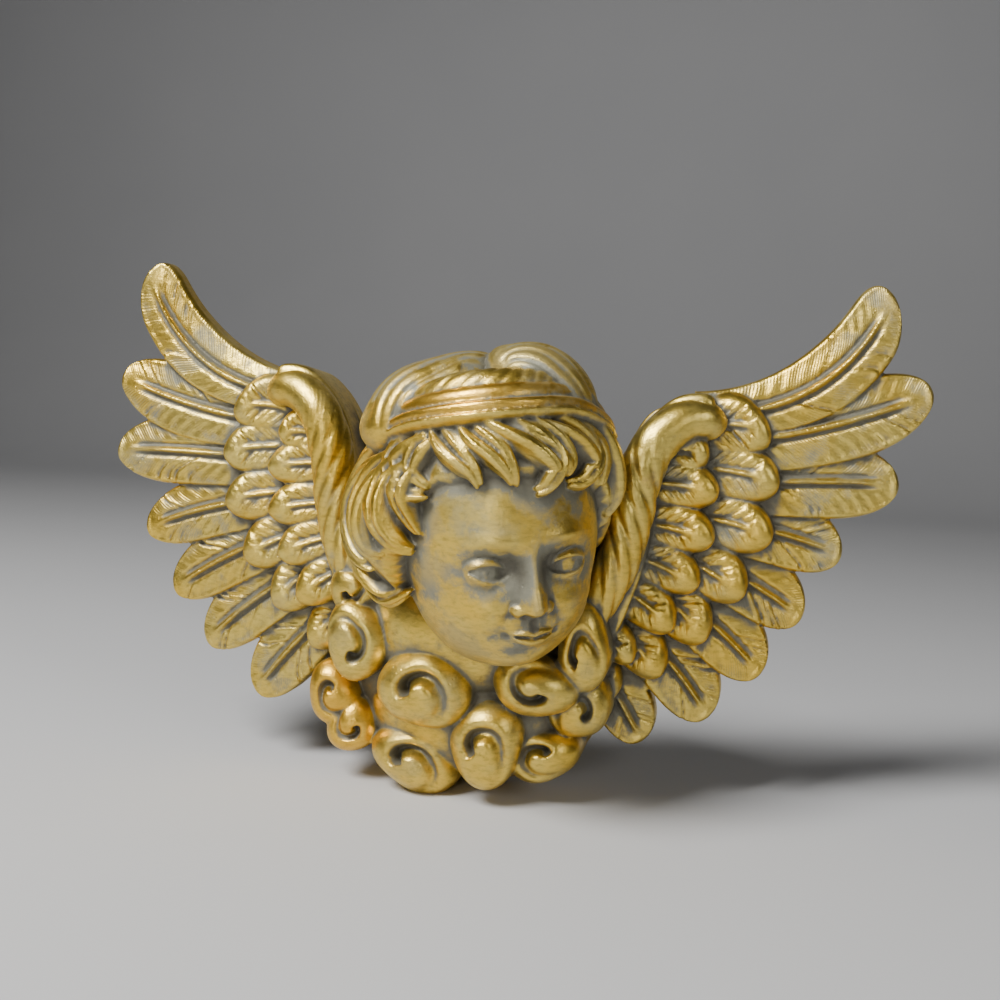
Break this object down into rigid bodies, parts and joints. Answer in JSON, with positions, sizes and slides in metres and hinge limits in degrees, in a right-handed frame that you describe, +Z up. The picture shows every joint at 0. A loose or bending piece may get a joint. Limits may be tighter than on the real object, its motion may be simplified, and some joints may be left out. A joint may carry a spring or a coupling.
{
  "type": "cherub wall plaque",
  "caption": "Wall plaque of a winged cherub's head over a cloud of curls, cast in relief with a flat back and hung on a nail.",
  "frame": {"origin": "on the back plane of the plaque at the wall, on the middle line between the two wings and level with the middle of the head", "axes": "+X to the viewer's right along the wings, +Y from the carving back into the wall, +Z up"},
  "size_m": [0.301, 0.0896, 0.1885],
  "materials": {
    "gilded_cast": "satin metallic gold paint brushed over a grey ground, rubbed thin on the raised parts"
  },
  "bodies": {
    "root": {"cherub_plaque": "gilded_cast"}
  },
  "joints": []
}
